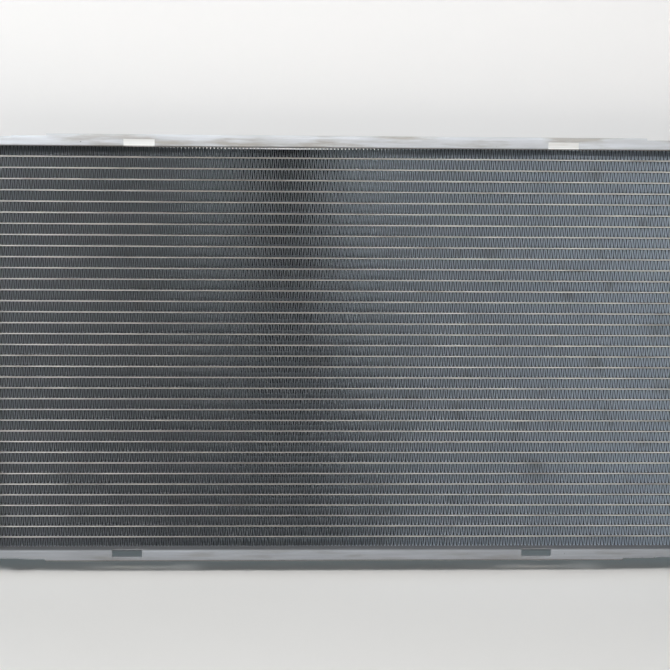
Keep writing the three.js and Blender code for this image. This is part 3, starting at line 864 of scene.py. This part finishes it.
def placeDrainTap(settings):
    low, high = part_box("drain_tap")
    sealLow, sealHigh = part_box("drain_tap_seal")
    centre = (low + high) / 2
    headBack = sealHigh.y + 0.0002
    headFront = headBack + settings["headDepth"]
    base = (centre.x, low.y, centre.z)
    stem, head = settings["stem"], settings["head"]
    reach = headBack - low.y
    stemProfile = ((stem - 0.0012, 0.0), (stem, 0.0016), (stem, reach), (head - 0.0006, reach),
                   (head, reach + 0.0006), (head, reach + settings["headDepth"] - 0.0008),
                   (head - 0.0010, reach + settings["headDepth"]))
    tap = turnShape("tap_stem_head", stemProfile, base, (0, 1, 0),
                    settings["facets"])
    editPiece(tap)  # shallow grips round the head, one on every second facet

    def onRim(co, normal):
        out = math.hypot(co.x - centre.x, co.z - centre.z) > head - 0.0004
        return out and abs(normal.y) < 0.3

    pick(tap, "FACE", onRim)
    mesh = bmesh.from_edit_mesh(tap.data)
    for face in mesh.faces:
        if face.select:
            middle = face.calc_center_median()
            turn = math.atan2(middle.z - centre.z, middle.x - centre.x)
            step = round(turn / (2 * math.pi / settings["facets"]))
            face.select_set(step % 2 == 0)
    bmesh.update_edit_mesh(tap.data)
    bpy.ops.mesh.inset(thickness=settings["gripEdge"], depth=-settings["gripDepth"],
                       use_individual=True)
    leaveEdit()
    smoothByAngle(tap, 40)
    wing = newBlock("tap_wing", (low.x, headFront - 0.0004, centre.z - settings["wing"] / 2),
                    (high.x, high.y, centre.z + settings["wing"] / 2))
    editPiece(wing)
    pick(wing, "VERT", lambda co: co.y < headFront)
    bpy.ops.transform.resize(value=settings["wingTaper"], center_override=centre)
    pick(wing, "EDGE", lambda a, b: abs(a.z - b.z) > tenth and min(a.y, b.y) > headFront)
    bpy.ops.mesh.bevel(offset=settings["wingRound"], segments=4, affect="EDGES")
    leaveEdit()
    roundEdges(wing, settings["edge"], 3)
    smoothByAngle(wing, 40)
    for piece in (tap, wing):
        fit(piece, tapFinish, "drain_tap")
        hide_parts("drain_tap")
    half = (sealHigh.y - sealLow.y) / 2
    outer = (sealHigh.x - sealLow.x) / 2
    turns = [2 * index * math.pi / settings["sealSides"] for index in range(settings["sealSides"])]
    sealProfile = tuple((outer - half + half * math.cos(turn), half + half * math.sin(turn))
                        for turn in turns)
    seal = turnShape("tap_seal_ring", sealProfile, (centre.x, sealLow.y, centre.z), (0, 1, 0),
                     settings["facets"], ring=True)
    fit(seal, rubberFinish, "drain_tap")
    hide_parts("drain_tap_seal")


placeDrainTap(tapSet)
print("drain tap made")


# gaskets keep their own shape
for name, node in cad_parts.items():
    if name.startswith("tank_gasket"):
        node.data.materials.clear()
        node.data.materials.append(rubberFinish)


# floor, backdrop and lights
stageSet = {
    "floor": 6, "wallHeight": 3, "wallY": 0.05, "floorColor": (0.87, 0.82, 0.775),
    "wallColor": (0.69, 0.66, 0.64), "cardY": -0.001, "cardScale": (0.678, 1, 0.384),
    "shadeCardColor": (0.012, 0.012, 0.014), "roomColor": (0.86, 0.87, 0.88),
    "fillColor": (0.66, 0.87, 1.0), "fillStrength": 0.16,
}
lightSet = (  # name, place, what it is aimed at, size, power, colour
    ("keyMiddle", (-0.05, -1.85, 1.32), (0, 0, 0.15), (0.45, 0.06), 9.5, (1.0, 0.97, 0.94)),
    ("keyLeft", (-1.2, -1.8, 1.28), (0, 0, 0.15), (0.7, 0.1), 13, (0.94, 0.97, 1.0)),
    ("keyRight", (1.2, -1.8, 1.28), (0, 0, 0.15), (0.7, 0.1), 13, (0.95, 0.97, 1.0)),
    ("frontTop", (-0.1, -0.75, 1.15), (0, 0, 0.2), (1.0, 0.4), 2, (1.0, 0.985, 0.965)),
    ("leftFar", (-4.5, -3.0, 2.1), (0, 0, 0.25), (1.5, 0.5), 200, (0.88, 0.95, 1.0)),
    ("rightFar", (4.5, -3.0, 2.1), (0, 0, 0.25), (1.5, 0.5), 22, (1, 1, 1)),
    ("backLeft", (-1.5, 2.6, 0.35), (0, 0, 0.25), (1.6, 0.4), 16, (0.78, 0.92, 1.0)),
    ("backRight", (1.5, 2.6, 0.35), (0, 0, 0.25), (1.6, 0.4), 16, (0.78, 0.92, 1.0)),
)


def paleFinish(name, color, oneSided):  # one-sided sheets are clear from behind
    material, tree, shader = startMaterial(name, color, 0, 0.85)
    paper = noisePattern(tree, 3, 2)
    shade = tuple(channel * 0.97 for channel in color)
    tree.links.new(mixColor(tree, paper, color, shade), shader.inputs["Base Color"])
    if oneSided:
        side = tree.nodes.new("ShaderNodeNewGeometry")
        clear = tree.nodes.new("ShaderNodeBsdfTransparent")
        mix = tree.nodes.new("ShaderNodeMixShader")
        tree.links.new(side.outputs["Backfacing"], mix.inputs[0])
        tree.links.new(shader.outputs[0], mix.inputs[1])
        tree.links.new(clear.outputs[0], mix.inputs[2])
        tree.links.new(mix.outputs[0], tree.nodes["Material Output"].inputs["Surface"])
    return material


def seenOnly(sheet):  # the camera sees it, but it gives no light, reflection or shadow
    sheet.visible_diffuse = False
    sheet.visible_glossy = False
    sheet.visible_shadow = False


def makeStage(settings):
    deselectAll()
    bpy.ops.mesh.primitive_plane_add(size=settings["floor"], location=(0, 0, 0))
    floor = bpy.context.active_object
    floor.name = "floor"
    floor.data.materials.append(paleFinish("floorPaper", settings["floorColor"], False))
    deselectAll()
    bpy.ops.mesh.primitive_plane_add(
        size=settings["floor"], location=(0, settings["wallY"], settings["wallHeight"]),
        rotation=(math.pi / 2, 0, 0))
    wall = bpy.context.active_object
    wall.name = "backdrop"
    wall.data.materials.append(paleFinish("wallPaper", settings["wallColor"], True))
    seenOnly(wall)
    deselectAll()
    bpy.ops.mesh.primitive_plane_add(  # painted shade: a dark card behind the core, seen only from in front
        size=1, location=(0, settings["cardY"], middleHeight), rotation=(math.pi / 2, 0, 0))
    bpy.ops.transform.resize(value=settings["cardScale"])
    shadeCard = bpy.context.active_object
    shadeCard.name = "shadeCard"
    shadeCard.data.materials.append(paleFinish("paintedShadeCard", settings["shadeCardColor"], True))
    seenOnly(shadeCard)


def addLight(name, place, aim, size, power, color):
    data = bpy.data.lights.new(name, "AREA")
    data.shape = "RECTANGLE"
    data.size, data.size_y = size
    data.energy = power
    data.color = color
    light = bpy.data.objects.new(name, data)
    bpy.context.collection.objects.link(light)
    light.location = place
    light.rotation_euler = (Vector(aim) - Vector(place)).to_track_quat("-Z", "Y").to_euler()


def makeWorld(settings):  # the room looks paler to the camera than the light it gives
    world = bpy.data.worlds.new("paleRoom")
    world.use_nodes = True
    nodes, links = world.node_tree.nodes, world.node_tree.links
    seen = nodes.new("ShaderNodeLightPath")
    room = nodes.new("ShaderNodeBackground")
    room.inputs["Color"].default_value = (*settings["roomColor"], 1)
    nodes["Background"].inputs["Color"].default_value = (*settings["fillColor"], 1)
    nodes["Background"].inputs["Strength"].default_value = settings["fillStrength"]
    mix = nodes.new("ShaderNodeMixShader")
    links.new(seen.outputs["Is Camera Ray"], mix.inputs[0])
    links.new(nodes["Background"].outputs[0], mix.inputs[1])
    links.new(room.outputs[0], mix.inputs[2])
    links.new(mix.outputs[0], nodes["World Output"].inputs["Surface"])
    bpy.context.scene.world = world


makeStage(stageSet)
for light in lightSet:
    addLight(*light)
makeWorld(stageSet)
bpy.context.scene.view_settings.view_transform = "Standard"
print("stage set")
